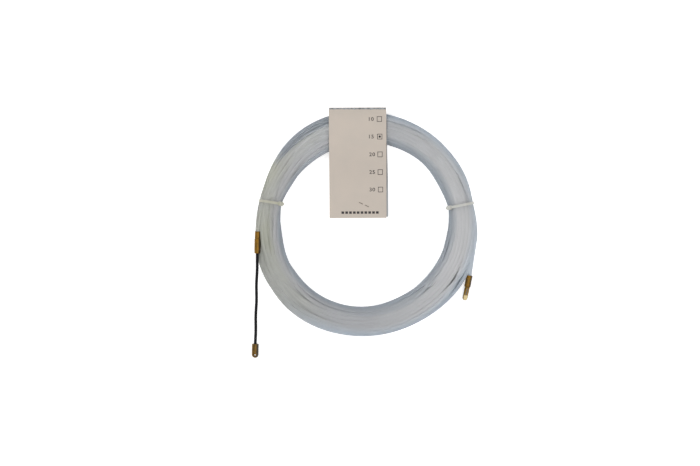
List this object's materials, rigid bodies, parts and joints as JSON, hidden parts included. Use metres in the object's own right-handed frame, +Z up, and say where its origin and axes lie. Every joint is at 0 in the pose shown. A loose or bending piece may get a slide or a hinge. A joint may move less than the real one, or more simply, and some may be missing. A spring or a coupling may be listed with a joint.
{
  "type": "nylon fish tape",
  "caption": "Hand-coiled nylon fish tape tied in a hank, with a brass-tipped wire leader, a brass rear eye and a folded card length tag.",
  "frame": {"origin": "centre of the bounding box in plan, on the surface that the coil lies on", "axes": "+Z up out of the coil's plane, +Y towards the tag's fold, +X towards the rear eye's side; the wire leader points along -Y on the -X side"},
  "size_m": [0.226, 0.2508, 0.021],
  "materials": {
    "tape_nylon": "translucent natural nylon monofilament",
    "tie_nylon": "natural moulded nylon",
    "brass": "turned brass, slightly tarnished, with crimp marks",
    "polished_brass": "bright turned brass",
    "leader_steel": "blackened twisted steel wire",
    "tag_card": "uncoated printed card",
    "staple_steel": "plated steel wire"
  },
  "bodies": {
    "coil": {"tape_coil": "tape_nylon", "front_tape_end": "tape_nylon", "rear_tape_end": "tape_nylon", "front_ferrule": "brass", "rear_ferrule": "brass", "left_cable_tie": "tie_nylon", "right_cable_tie": "tie_nylon"},
    "leader": {"leader_ferrule": "brass", "leader_core": "leader_steel", "leader_strands": "leader_steel"},
    "tip": {"leader_tip": "brass"},
    "eye": {"rear_eye": "polished_brass"},
    "tag": {"tag_card": "tag_card", "tag_staple": "staple_steel"}
  },
  "joints": [
    {"name": "tag_slide", "type": "hinge", "parent": "coil", "child": "tag", "pos_m": [0.00051, 0.00858, 0], "axis": [0, 0, 1], "range_deg": [-58, 48]},
    {"name": "leader_screw", "type": "hinge", "parent": "coil", "child": "leader", "pos_m": [-0.10668, -0.006, 0.01176], "axis": [-0.0251, -0.9971, -0.0715], "range_deg": [0, 2160]},
    {"name": "leader_flex", "type": "hinge", "parent": "leader", "child": "tip", "pos_m": [-0.10809, -0.06197, 0.00775], "axis": [0, 0, 1], "range_deg": [-60, 50], "stiffness_Nm_per_rad": 0.02, "deforming": ["leader_strands", "leader_core"]},
    {"name": "eye_screw", "type": "hinge", "parent": "coil", "child": "eye", "pos_m": [0.10287, -0.05462, 0.00476], "axis": [-0.1905, -0.9756, -0.1088], "range_deg": [0, 2160]}
  ]
}
